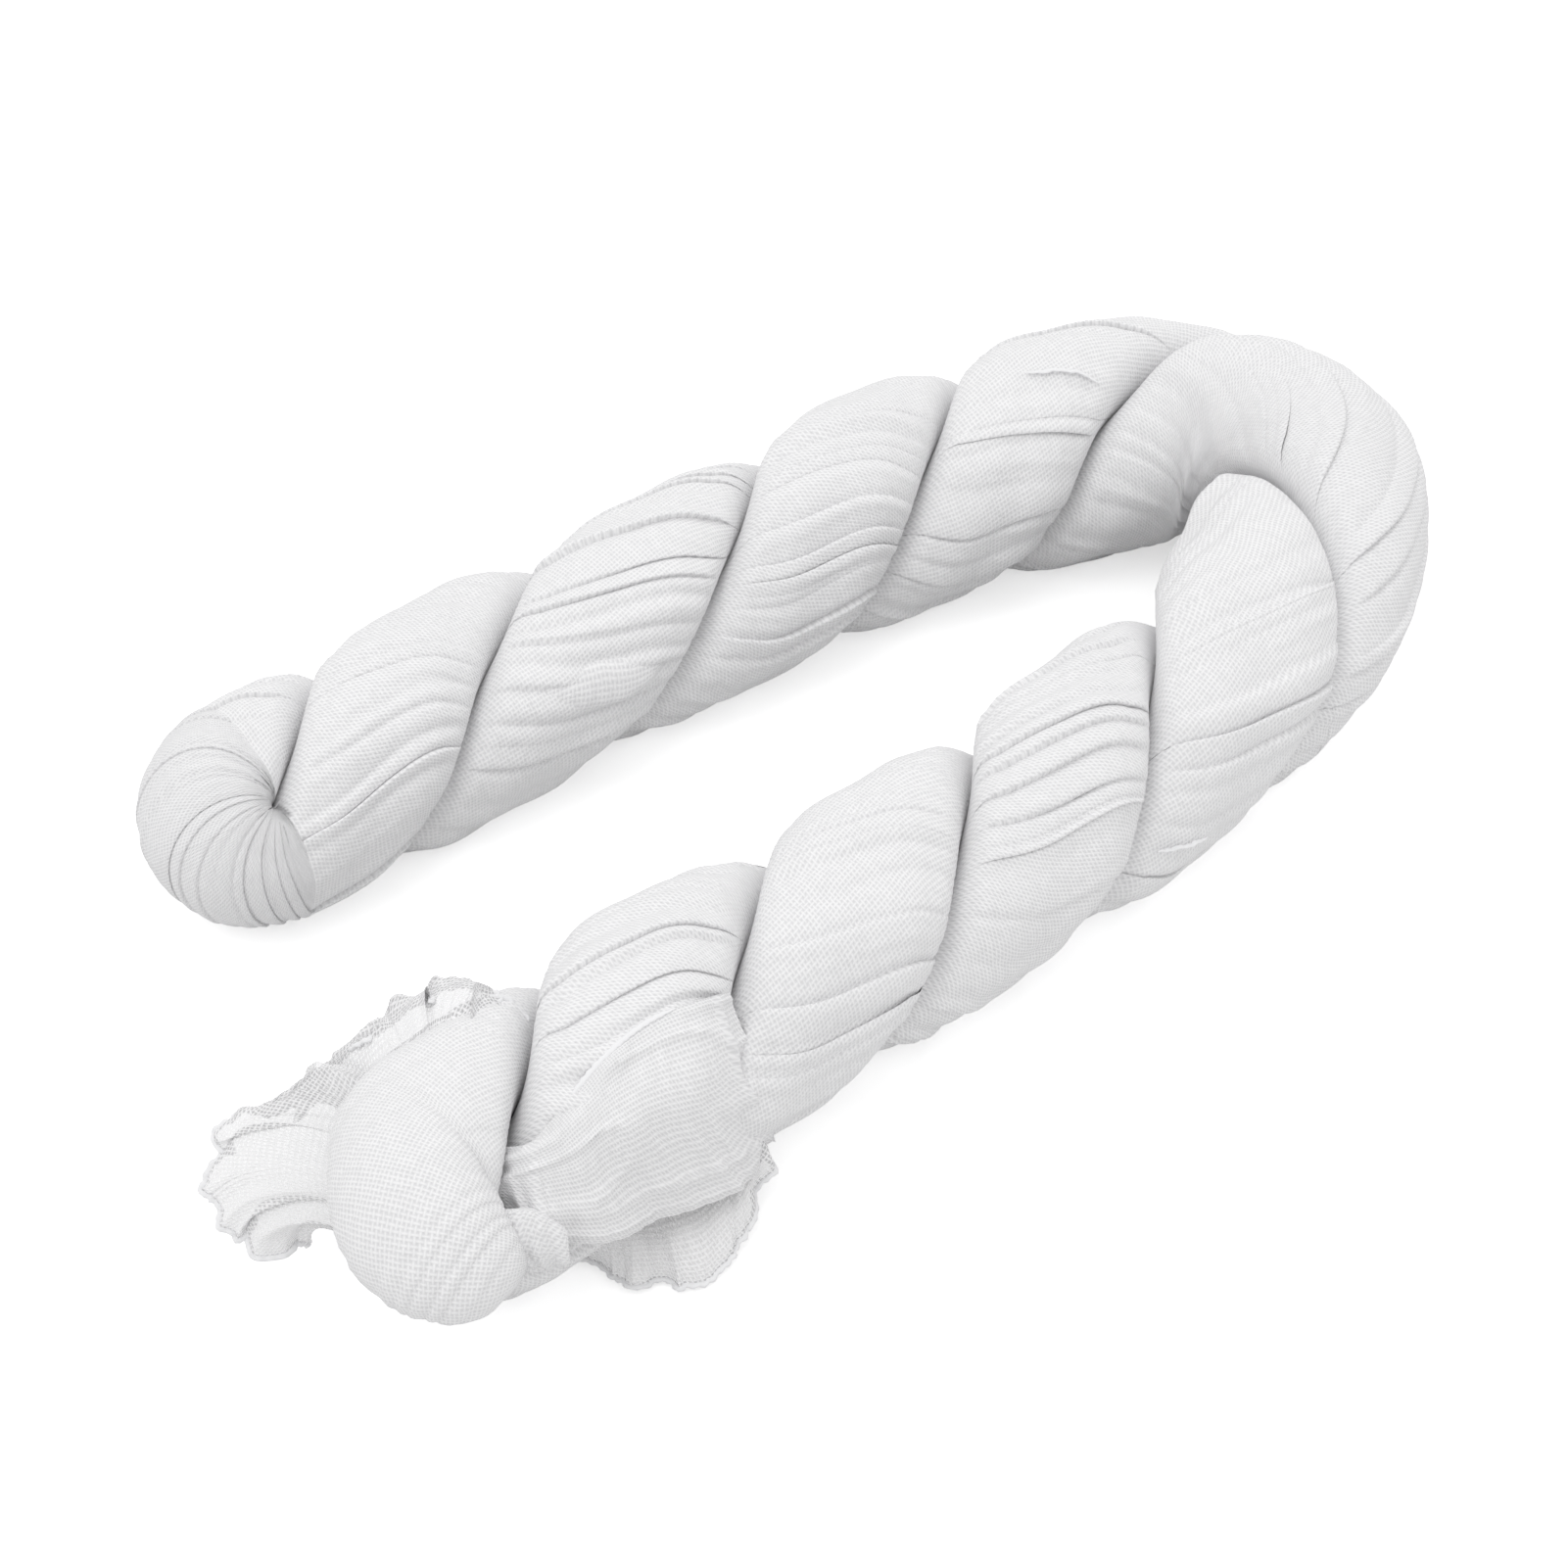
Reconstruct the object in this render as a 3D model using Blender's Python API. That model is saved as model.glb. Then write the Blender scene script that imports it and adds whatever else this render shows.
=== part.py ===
"""A white cotton gauze baby wrap, folded in the middle, twisted double on itself and laid down as a hank.

Metres, +Z up. The hank lies on z = 0 with the middle of its outline at the origin.
"""

import math

import bmesh
import bpy
import numpy as np

# Route of the rope's axis over the table: each stretch has a length and the angle that it turns through
ROUTE_START = (-0.13111, -0.00948)
ROUTE_HEADING = 37.6
ROUTE = (
    (0.1535, -1.3),
    (0.1070, -21.9),
    (0.0663, -114.8),
    (0.0634, -32.8),
    (0.1520, -11.2),
    (0.1260, 11.5),
)
ROUTE_SMOOTHING = 0.030

# Rope radius at places along the route: the fold is slimmer than the free end
RADIUS_AT = (
    (0.0, 0.0272),
    (0.14, 0.0270),
    (0.21, 0.0292),
    (0.29, 0.0306),
    (0.43, 0.0284),
    (0.57, 0.0298),
    (0.64, 0.0305),
)
RADIUS_SMOOTHING = 0.060

# Twist: each stretch has a length and the length of its half turn. The strands wind to the left.
TWIST_START = -45.0
TWIST = (
    (0.0610, 0.0600),
    (0.0740, 0.0740),
    (0.0600, 0.0610),
    (0.0485, 0.0490),
    (0.1055, 0.0790),
    (0.0770, 0.0690),
    (0.0620, 0.0613),
    (0.0645, 0.0640),
    (0.1135, 0.0640),
)
TWIST_SMOOTHING = 0.030

# Section of one strand, as shares of the rope radius
STRAND_HALF_WIDTH = 0.80
STRAND_ROUNDNESS = 2.3
STRAND_TAPER = 0.18
AXIS_HEIGHT = 0.93

# Where the strands are divided
FAR_LEG_END = 0.190
BEND_END = 0.360
NEAR_LEG_END = 0.570
BUNDLE_ENDS = (0.642, 0.664)
BUNDLE_ROUNDING = 0.032

# Loose layers that flare out of the hank. Each springs from a place on the route, set off forward,
# right and up from the axis, and points along its own axis, given in the same three directions.
# It has a reach, a radius at its root and rim, an arc round its axis, and ruffles with a depth.
LAYER_THICKNESS = 0.0020
LOOSE_LAYERS = {
    "first_end_frill": dict(
        place=0.615,
        offset=(0.0, 0.0, -0.006),
        axis=(0.80, 0.58, -0.06),
        reach=0.056,
        radii=(0.012, 0.022),
        arc=(10.0, 190.0),
        ruffles=(5, 0.0042),
    ),
    "second_end_frill": dict(
        place=0.612,
        offset=(-0.004, 0.003, 0.008),
        axis=(0.05, 0.95, 0.0),
        reach=0.022,
        radii=(0.014, 0.024),
        arc=(-60.0, 40.0),
        ruffles=(5, 0.0036),
    ),
    "loose_side_flap": dict(
        place=0.535,
        offset=(0.010, -0.005, -0.019),
        axis=(0.79, -0.61, -0.06),
        reach=0.059,
        radii=(0.006, 0.015),
        arc=(-75.0, 75.0),
        ruffles=(4, 0.0022),
    ),
}
LAYER_ROWS = 7
LAYER_COLUMNS = 37

# Hems: a rolled edge on each loose layer, and the stretches of the long edges that show on the strands
HEM_RADIUS = 0.0012
SIDE_HEMS = {
    "first_side_hem": dict(strand=0, start=0.545, end=0.602, angle=28.0),
    "second_side_hem": dict(strand=1, start=0.205, end=0.248, angle=34.0),
}
HEM_POINT_SPACING = 0.0045

CLEARANCE = 0.0003
STATION_SPACING = 0.0080
RING_POINTS = 20
FOLD_STATIONS = 13
STEP = 0.0005

GAUZE_COLOUR = (0.78, 0.78, 0.79, 1.0)
HEM_COLOUR = (0.84, 0.84, 0.85, 1.0)


def clear_scene():
    for thing in list(bpy.data.objects):
        bpy.data.objects.remove(thing, do_unlink=True)


def cloth_material(name, colour):
    material = bpy.data.materials.new(name)
    material.use_nodes = True
    shader = material.node_tree.nodes["Principled BSDF"]
    shader.inputs["Base Color"].default_value = colour
    shader.inputs["Roughness"].default_value = 0.95
    shader.inputs["Metallic"].default_value = 0.0
    return material


def smoothed(values, window):
    """The values averaged along the route over a bell-shaped window."""
    count = max(3, int(round(window / STEP)) | 1)
    bell = np.hanning(count + 2)[1:-1]
    padded = np.pad(values, count // 2, mode="edge")
    return np.convolve(padded, bell / bell.sum(), mode="valid")


def stepwise(stretches, places):
    """The second number of the stretch that each place lies in."""
    ends = np.cumsum([length for length, _ in stretches])
    index = np.minimum(np.searchsorted(ends, places), len(stretches) - 1)
    return np.array([value for _, value in stretches])[index]


class Rope:
    """The rope's axis, radius and twist at every half millimetre of the route."""

    def __init__(self):
        length = sum(stretch for stretch, _ in ROUTE)
        self.along = np.arange(0.0, length + STEP, STEP)
        bends = tuple((stretch, math.radians(turn) / stretch) for stretch, turn in ROUTE)
        curvature = smoothed(stepwise(bends, self.along), ROUTE_SMOOTHING)
        self.heading = math.radians(ROUTE_HEADING) + self.summed(curvature)
        self.x = ROUTE_START[0] + self.summed(np.cos(self.heading))
        self.y = ROUTE_START[1] + self.summed(np.sin(self.heading))
        places, radii = np.array(RADIUS_AT).T
        self.radius = smoothed(np.interp(self.along, places, radii), RADIUS_SMOOTHING)
        turn_rate = smoothed(math.pi / stepwise(TWIST, self.along), TWIST_SMOOTHING)
        self.twist = math.radians(TWIST_START) + self.summed(turn_rate)

    @staticmethod
    def summed(rate):
        return np.concatenate(([0.0], np.cumsum((rate[1:] + rate[:-1]) * 0.5 * STEP)))

    def read(self, values, place):
        return float(np.interp(place, self.along, values))

    def frame(self, place, strand):
        """Axis point, forward direction, direction to the strand, direction across it, and radius."""
        heading = self.read(self.heading, place)
        twist = self.read(self.twist, place) + strand * math.pi
        radius = self.read(self.radius, place)
        forward = np.array((math.cos(heading), math.sin(heading), 0.0))
        right = np.array((math.sin(heading), -math.cos(heading), 0.0))
        up = np.array((0.0, 0.0, 1.0))
        axis = np.array((self.read(self.x, place), self.read(self.y, place), AXIS_HEIGHT * radius))
        outward = math.cos(twist) * right + math.sin(twist) * up
        across = -math.sin(twist) * right + math.cos(twist) * up
        return axis, forward, outward, across, radius


def section(angle):
    """Outward and sideways position on a strand's D-shaped section, as shares of the rope radius."""
    power = 2.0 / STRAND_ROUNDNESS
    cosine, sine = math.cos(angle), math.sin(angle)
    depth = math.copysign(abs(cosine) ** power, cosine)
    side = math.copysign(abs(sine) ** power, sine)
    return 0.5 + 0.5 * depth, STRAND_HALF_WIDTH * side * (1.0 - STRAND_TAPER * depth)


def ring(axis, outward, across, radius, growth=0.0):
    """One ring of points round a strand, flattened where it lies on the table."""
    points = []
    for index in range(RING_POINTS):
        out, side = section(2.0 * math.pi * index / RING_POINTS)
        reach = CLEARANCE + out * (radius - CLEARANCE) + growth * (2.0 * out - 1.0)
        point = axis + reach * outward + side * (radius + growth) * across
        point[2] = max(point[2], 0.0)
        points.append(point)
    return points


def stations(start, end):
    return np.linspace(start, end, max(2, int(round((end - start) / STATION_SPACING)) + 1))


def loft(name, rings, material):
    """A closed solid through a row of rings, with flat ends."""
    shape = bmesh.new()
    loops = [[shape.verts.new(point) for point in points] for points in rings]
    for lower, upper in zip(loops, loops[1:]):
        for index in range(len(lower)):
            following = (index + 1) % len(lower)
            shape.faces.new((lower[index], lower[following], upper[following], upper[index]))
    shape.faces.new(loops[0])
    shape.faces.new(loops[-1])
    return finished(name, shape, material)


def finished(name, shape, material):
    """The bmesh as a named, smooth-shaded object."""
    bmesh.ops.recalc_face_normals(shape, faces=shape.faces[:])
    sides = [face for face in shape.faces if len(face.verts) == 4]
    bmesh.ops.triangulate(shape, faces=sides, quad_method="SHORT_EDGE")
    mesh = bpy.data.meshes.new(name)
    shape.to_mesh(mesh)
    shape.free()
    mesh.shade_smooth()
    mesh.set_sharp_from_angle(angle=math.radians(50.0))
    mesh.materials.append(material)
    thing = bpy.data.objects.new(name, mesh)
    bpy.context.scene.collection.objects.link(thing)
    return thing


def strand_rings(rope, strand, start, end, growth=0.0):
    rings = []
    for place in stations(start, end):
        axis, _, outward, across, radius = rope.frame(place, strand)
        rings.append(ring(axis, outward, across, radius, growth))
    return rings


def bundle_rings(rope, strand, start, growth=0.0):
    """The last stretch of a strand, drawn in round at its end."""
    rings = []
    end = BUNDLE_ENDS[strand]
    for place in stations(start, end):
        axis, _, outward, across, radius = rope.frame(place, strand)
        past = max(0.0, place - (end - BUNDLE_ROUNDING)) / BUNDLE_ROUNDING
        share = math.sqrt(max(0.02, 1.0 - past**2))
        middle = axis + 0.5 * radius * outward
        points = ring(axis, outward, across, radius, growth)
        points = [middle + share * (point - middle) for point in points]
        for point in points:
            point[2] = max(point[2], 0.0)
        rings.append(points)
    return rings


def fold_rings(rope):
    """The cloth's middle, turned back round the end of the rope."""
    axis, forward, outward, across, radius = rope.frame(0.0, 0)
    start = axis - CLEARANCE * forward
    rings = []
    for index in range(FOLD_STATIONS):
        turn = math.pi * index / (FOLD_STATIONS - 1)
        direction = math.cos(turn) * outward - math.sin(turn) * forward
        rings.append(ring(start, direction, across, radius))
    return rings


def layer_axis(rope, layer):
    """Root point and direction of a loose layer."""
    middle, forward, _, _, _ = rope.frame(layer["place"], 0)
    up = np.array((0.0, 0.0, 1.0))
    local = np.array((forward, np.cross(forward, up), up))
    axis = np.array(layer["axis"]) @ local
    return middle + np.array(layer["offset"]) @ local, axis / np.linalg.norm(axis)


def layer_point(rope, layer, share, turn, inward=0.0):
    """A point on a flared layer: share of its reach, and angle round its axis from straight up."""
    root, axis = layer_axis(rope, layer)
    side = np.cross(axis, (0.0, 0.0, 1.0))
    side /= np.linalg.norm(side)
    top = np.cross(side, axis)
    count, depth = layer["ruffles"]
    root_radius, rim_radius = layer["radii"]
    radius = root_radius + (rim_radius - root_radius) * share - inward
    start, end = layer["arc"]
    radius += depth * share * math.sin(2.0 * math.pi * count * (turn - start) / (end - start))
    angle = math.radians(turn)
    spoke = math.cos(angle) * top + math.sin(angle) * side
    point = root + share * layer["reach"] * axis + radius * spoke
    point[2] = max(point[2], LAYER_THICKNESS - inward)
    return point


def loose_layer(name, rope, layer, material, carriers):
    """A ruffled sheet of closed thickness, cut clear of the strands that it springs from."""
    turns = np.linspace(*layer["arc"], LAYER_COLUMNS)
    shares = np.linspace(0.0, 1.0, LAYER_ROWS)
    rings = []
    for turn in turns:
        outer = [layer_point(rope, layer, share, turn) for share in shares]
        inner = [layer_point(rope, layer, share, turn, LAYER_THICKNESS) for share in shares[::-1]]
        rings.append(outer + inner)
    sheet = loft(name, rings, material)
    for carrier in carriers:
        cut = sheet.modifiers.new(f"clear_{carrier.name}", "BOOLEAN")
        cut.operation = "DIFFERENCE"
        cut.solver = "MANIFOLD"
        cut.object = carrier
    return sheet


def hem_tube(name, points, material):
    """A rolled hem: a thin round tube along its edge."""
    curve = bpy.data.curves.new(name, "CURVE")
    curve.dimensions = "3D"
    curve.bevel_depth = HEM_RADIUS
    curve.bevel_resolution = 1
    curve.use_fill_caps = True
    spline = curve.splines.new("POLY")
    spline.points.add(len(points) - 1)
    for spot, point in zip(spline.points, points):
        spot.co = (*point, 1.0)
    curve.materials.append(material)
    thing = bpy.data.objects.new(name, curve)
    bpy.context.scene.collection.objects.link(thing)
    return thing


def rim_points(rope, layer):
    """The line just past a loose layer's rim that its hem follows."""
    _, axis = layer_axis(rope, layer)
    past = (HEM_RADIUS + CLEARANCE) * axis
    points = []
    for turn in np.linspace(*layer["arc"], LAYER_COLUMNS):
        point = layer_point(rope, layer, 1.0, turn, LAYER_THICKNESS * 0.5) + past
        point[2] = max(point[2], HEM_RADIUS)
        points.append(point)
    return points


def side_hem_points(rope, hem):
    """A line along a strand, a hem's radius and a clearance above its skin."""
    count = int(round((hem["end"] - hem["start"]) / HEM_POINT_SPACING)) + 1
    out, side = section(math.radians(hem["angle"]))
    points = []
    for place in np.linspace(hem["start"], hem["end"], count):
        axis, _, outward, across, radius = rope.frame(place, hem["strand"])
        skin = axis + out * radius * outward + side * radius * across
        middle = axis + 0.5 * radius * outward
        lift = (skin - middle) / np.linalg.norm(skin - middle)
        points.append(skin + (HEM_RADIUS + CLEARANCE) * lift)
    return points


def cutter(name, rings, material):
    """A strand grown by the clearance, which trims the loose layers and is no part of the cloth."""
    thing = loft(name, rings, material)
    thing.hide_render = True
    thing.display_type = "WIRE"
    return thing


def centre_on_table():
    """Sets the middle of the outline on the origin, by way of one empty that holds every piece."""
    bpy.context.view_layer.update()
    graph = bpy.context.evaluated_depsgraph_get()
    pieces = list(bpy.data.objects)
    shown = [piece for piece in pieces if not piece.hide_render]
    corners = []
    for piece in shown:
        mesh = piece.evaluated_get(graph).to_mesh()
        places = np.empty(len(mesh.vertices) * 3)
        mesh.vertices.foreach_get("co", places)
        places = places.reshape(-1, 3)
        corners += [places.min(axis=0), places.max(axis=0)]
    middle = (np.min(corners, axis=0) + np.max(corners, axis=0)) / 2.0
    hank = bpy.data.objects.new("hank", None)
    hank.location = (-middle[0], -middle[1], 0.0)
    bpy.context.scene.collection.objects.link(hank)
    for piece in pieces:
        piece.parent = hank
    print("outline moved by", -middle[:2])


def build():
    clear_scene()
    rope = Rope()
    gauze = cloth_material("white_cotton_gauze", GAUZE_COLOUR)
    loft("middle_fold", fold_rings(rope), gauze)
    for strand, half in enumerate(("first_half", "second_half")):
        loft(f"{half}_far_leg", strand_rings(rope, strand, 0.0, FAR_LEG_END), gauze)
        loft(f"{half}_bend", strand_rings(rope, strand, FAR_LEG_END + CLEARANCE, BEND_END), gauze)
        loft(f"{half}_near_leg", strand_rings(rope, strand, BEND_END + CLEARANCE, NEAR_LEG_END), gauze)
        loft(f"{half}_end_bundle", bundle_rings(rope, strand, NEAR_LEG_END + CLEARANCE), gauze)
    hem = cloth_material("overlocked_cotton_hem", HEM_COLOUR)
    carriers = []
    for strand in (0, 1):
        leg = strand_rings(rope, strand, BEND_END + CLEARANCE, NEAR_LEG_END, CLEARANCE)
        bundle = bundle_rings(rope, strand, NEAR_LEG_END + CLEARANCE, CLEARANCE)
        carriers.append(cutter(f"leg_clearance_{strand}", leg, gauze))
        carriers.append(cutter(f"bundle_clearance_{strand}", bundle, gauze))
    for name, layer in LOOSE_LAYERS.items():
        loose_layer(name, rope, layer, gauze, carriers)
        hem_tube(f"{name}_hem", rim_points(rope, layer), hem)
    for name, place in SIDE_HEMS.items():
        hem_tube(name, side_hem_points(rope, place), hem)
    centre_on_table()


build()
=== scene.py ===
"""A white cotton gauze baby wrap, twisted double into a hank: its cloth, hems, light and camera."""

import math

import bmesh
import bpy
import numpy as np
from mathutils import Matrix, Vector


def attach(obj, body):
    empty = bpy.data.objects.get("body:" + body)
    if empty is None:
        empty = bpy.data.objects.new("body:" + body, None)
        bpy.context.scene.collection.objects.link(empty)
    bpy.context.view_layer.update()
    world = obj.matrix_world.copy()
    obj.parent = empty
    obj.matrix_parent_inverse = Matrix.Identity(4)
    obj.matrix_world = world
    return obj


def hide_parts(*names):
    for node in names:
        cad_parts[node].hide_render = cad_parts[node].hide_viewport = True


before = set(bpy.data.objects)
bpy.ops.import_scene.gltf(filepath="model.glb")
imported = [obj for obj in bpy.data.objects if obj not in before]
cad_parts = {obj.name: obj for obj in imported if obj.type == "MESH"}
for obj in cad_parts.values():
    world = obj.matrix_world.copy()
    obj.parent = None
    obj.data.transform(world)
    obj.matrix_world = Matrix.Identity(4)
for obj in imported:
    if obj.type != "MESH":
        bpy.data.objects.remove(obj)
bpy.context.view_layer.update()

# The rope's route, radius and twist, as in the solids
ROUTE_START = (-0.13111, -0.00948)
ROUTE_HEADING = 37.6
ROUTE = (
    (0.1535, -1.3),
    (0.1070, -21.9),
    (0.0663, -114.8),
    (0.0634, -32.8),
    (0.1520, -11.2),
    (0.1260, 11.5),
)
ROUTE_SMOOTHING = 0.030
RADIUS_AT = (
    (0.0, 0.0272),
    (0.14, 0.0270),
    (0.21, 0.0292),
    (0.29, 0.0306),
    (0.43, 0.0284),
    (0.57, 0.0298),
    (0.64, 0.0305),
)
RADIUS_SMOOTHING = 0.060
TWIST_START = -45.0
TWIST = (
    (0.0610, 0.0600),
    (0.0740, 0.0740),
    (0.0600, 0.0610),
    (0.0485, 0.0490),
    (0.1055, 0.0790),
    (0.0770, 0.0690),
    (0.0620, 0.0613),
    (0.0645, 0.0640),
    (0.1135, 0.0640),
)
TWIST_SMOOTHING = 0.030
# How far the soft cloth has eased round from the solids' twist: place, degrees
TWIST_EASE = (
    (0.0, 0.0),
    (0.05, 14.0),
    (0.19, 14.0),
    (0.27, 2.0),
    (0.42, -13.0),
    (0.56, -13.0),
    (0.62, 0.0),
)
# Spacing of the points at which the route is worked out
STEP = 0.0005

# A strand's D-shaped section, as shares of the rope radius, with the softer inner half of the cloth
STRAND_HALF_WIDTH = 0.80
STRAND_ROUNDNESS = 2.3
STRAND_TAPER = 0.18
SOFT_ROUNDNESS = 3.0
SOFT_TAPER = 0.25
OUTLINE_POINTS = 4001
# The axis above the floor as a share of the rope radius, and the places where the strands end
AXIS_HEIGHT = 0.93
STRAND_ENDS = (0.642, 0.664)
STRAND_JOINS = (0.379, 0.304)

# The cloth, 0.9 m wide, gathered into a strand: a zigzag of layers inside and a skin that shows
CLOTH_WIDTH = 0.90
SKIN_WIDTH = 0.125
ROW_SPACING = 0.0019
INNER_COLUMNS = 40
INNER_REACH = 0.22
INNER_ZIGZAG = 0.42
SKIN_DEPTH = 0.0007
STRAND_PRESS = 0.0006
OVERLAP = 0.40
OVERLAP_EASE = 0.3
OVERLAP_LIFT = 0.0006
STRAND_FLOOR_GAP = 0.0002
# How far out on the section the pleats come up, the skin sinks and the strands press together
RELIEF_OUT = (0.06, 0.45)
RELIEF_SWELL = 1.5
SKIN_OUT = (0.06, 0.30)
PRESS_OUT = (0.0, 0.20)
# How far the pleats turn round a strand for each turn of the rope, and how they pass the middle fold
LAY_TURN = 1.72
LAY_SMOOTHING = 30
FOLD_TURN = 1.8
FOLD_ROWS = 46
FOLD_RELIEF = 0.42
RELIEF_WINDOW = 25

# Knife pleats: bands of cloth round a strand, how their widths vary, and how far each laps the next
BANDS = 17
BAND_COLUMNS = 20
BAND_VARIATION = 0.55
BAND_RUN = 0.075
PLEAT_SEED = 7
PLEAT_DEPTH = 0.0015
PLEAT_DEPTH_RANGE = (0.55, 1.3)
PLEAT_STRENGTH = 0.46
PLEAT_STRENGTH_VARIATION = 0.85
PLEAT_RUN = 0.095
PLEAT_RISE = 1.7
PLEAT_ROUNDING = 0.30
PLEAT_CREST = 0.84
BAND_PUFF = 0.00060
TUCK_DEPTH = 0.00045
TUCK_SHARE = 0.22
LAP_STRENGTHS = (0.6, 1.0)
LAP_ANGLES = (-0.030, 0.010)
# Soft ridges along a strand, broad to fine: how many, how high and how long
RIDGES = ((9, 0.00150, 0.055), (28, 0.00060, 0.075), (60, 0.00034, 0.060))
RIDGE_SWAY = 0.5
RIDGE_SWAY_RUN = 0.09
# Folds draw together where a strand dives under its neighbour: how far, how gradually,
# at which twist and side, and the stretch round the bend that is left out
PINCH_PULL = 0.0038
PINCH_EASE = 0.045
PINCHES = {"far": (141.0, -1.0), "near": (35.0, 1.0)}
BEND_SPAN = (0.16, 0.24, 0.36, 0.44)

# The strands' ends: how they round off, droop and slim, and how the second turns aside and under
END_ROUNDING = 0.032
END_POWERS = (2.6, 2.4)
END_LEAST_SHARE = 0.001
END_DROOP = 0.30
END_SLIM = 0.11
END_SLIMMING = ((0.70, 0.80), (0.580, 0.628))
END_RELIEF_LOSS = 0.55
END_YAW = (0.0, 46.0)
END_PITCH = (0.0, 108.0)
END_YAW_POWER = 0.7
END_PITCH_POWER = 1.7
END_REACH = 0.036
END_DRIFT = (0.015, -0.009, 0.0)
BULGE_POWER = 5

# Loose sheets: the grid, and how much they crumple and clear the floor
SHEET_ROWS = 56
SHEET_COLUMNS = 230
SHEET_CRUMPLING = 0.0007
SHEET_FLOOR_GAP = 0.0004
RUFFLE_GROWTH = 1.25
RUFFLE_DRIFT = 0.55
RUFFLE_DRIFT_RUN = 0.16
RUFFLE_SWAY = 0.6
SECOND_RUFFLE = 0.45
SECOND_RUFFLE_RATE = 2.3
SECOND_RUFFLE_RUN = 0.07
RIM_WAVER = 0.22
RIM_WAVER_RUN = 0.016
# Cells of random height down and across a sheet, and the share of the way down by which they are full
CRUMPLE_CELLS = (3, 11)
FINE_CRUMPLE = 0.3
FINE_CRUMPLE_CELLS = (7, 25)
CRUMPLE_FULL = 0.25
CREASE_CELLS = (8, 3)
CREASE_FULL = 0.12
OUTER_CREASING = 0.0014

# Overlocked edges: half width, stitch pitch, height as a share of the width, and the cord's mesh
FRILL_HEM = (0.00080, 0.0026, 0.75)
SIDE_HEM = (0.0007, 0.0020, 0.5)
HEM_LIFT = 0.0014
HEM_STEP = 0.0006
HEM_SIDES = 11
HEM_STITCH = 0.30
HEM_STITCH_ANGLE = 0.8
HEM_UP = (0.31, 0.22, 0.92)
HEM_TAPER = 0.004
HEM_TAPER_LEAST = 0.12
HEM_FLAT_WIDTH = 0.02
HEM_FLOOR_GAP = 0.0003

# The weave: thread pitch, skew, crimp over and under, unevenness, and how the threads wander
THREAD_PITCH = 0.00115
THREAD_SKEW = 0.45
THREAD_CRIMP = 0.16
SLUB_STRENGTH = 0.55
SLUB_SCALE = 420.0
WANDER_SCALE = 55.0
WANDER_REACH = 0.0016
# Painted shade: the weave's gaps and the threads' sides take the darker gap colour, fading to the white
# thread colour at the crowns; the weave pattern itself is real
GAP_SHADE_COLOUR = (0.742, 0.740, 0.749, 1.0)
THREAD_COLOUR = (0.880, 0.877, 0.883, 1.0)
HEM_COLOUR = (0.84, 0.84, 0.85, 1.0)
GAP_SHADE_COVER = (0.50, 0.95)
ALPHA_COVER = (0.50, 0.85)
SINGLE_LAYER_COVER = 0.62
THREAD_BUMP = 0.5
THREAD_HEIGHT = 0.0004

CAMERA_AIM = (-0.00521, 0.02532, 0.0)
CAMERA_ELEVATION = 45.0
CAMERA_DISTANCE = 0.92
CAMERA_LENS = 85.0
CAMERA_SENSOR = 36.0
FLOOR_SIZE = 60.0
FLOOR_COLOUR = (0.8, 0.8, 0.8, 1.0)
FLOOR_GLOW = 0.55
SKY_STRENGTH = 0.87
LIGHT_AIM = (0.0, 0.0, 0.02)
# Place, size and power
KEY_LIGHT = ((-0.35, -0.25, 1.25), 0.7, 3.4)
BACK_LIGHT = ((0.5, 0.9, 1.0), 0.6, 1.6)
WHOLE_TURN = 2.0 * math.pi
LEAST_LENGTH = 1e-9


def smoothed(values, window):
    """The values averaged along the route over a bell-shaped window."""
    count = max(3, int(round(window / STEP)) | 1)
    bell = np.hanning(count + 2)[1:-1]
    padded = np.pad(values, count // 2, mode="edge")
    return np.convolve(padded, bell / bell.sum(), mode="valid")


def stepwise(stretches, places):
    """The second number of the stretch that each place lies in."""
    ends = np.cumsum([length for length, _ in stretches])
    index = np.minimum(np.searchsorted(ends, places), len(stretches) - 1)
    return np.array([value for _, value in stretches])[index]


def smoothstep(low, high, values):
    share = np.clip((values - low) / (high - low), 0.0, 1.0)
    return share * share * (3.0 - 2.0 * share)


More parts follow.
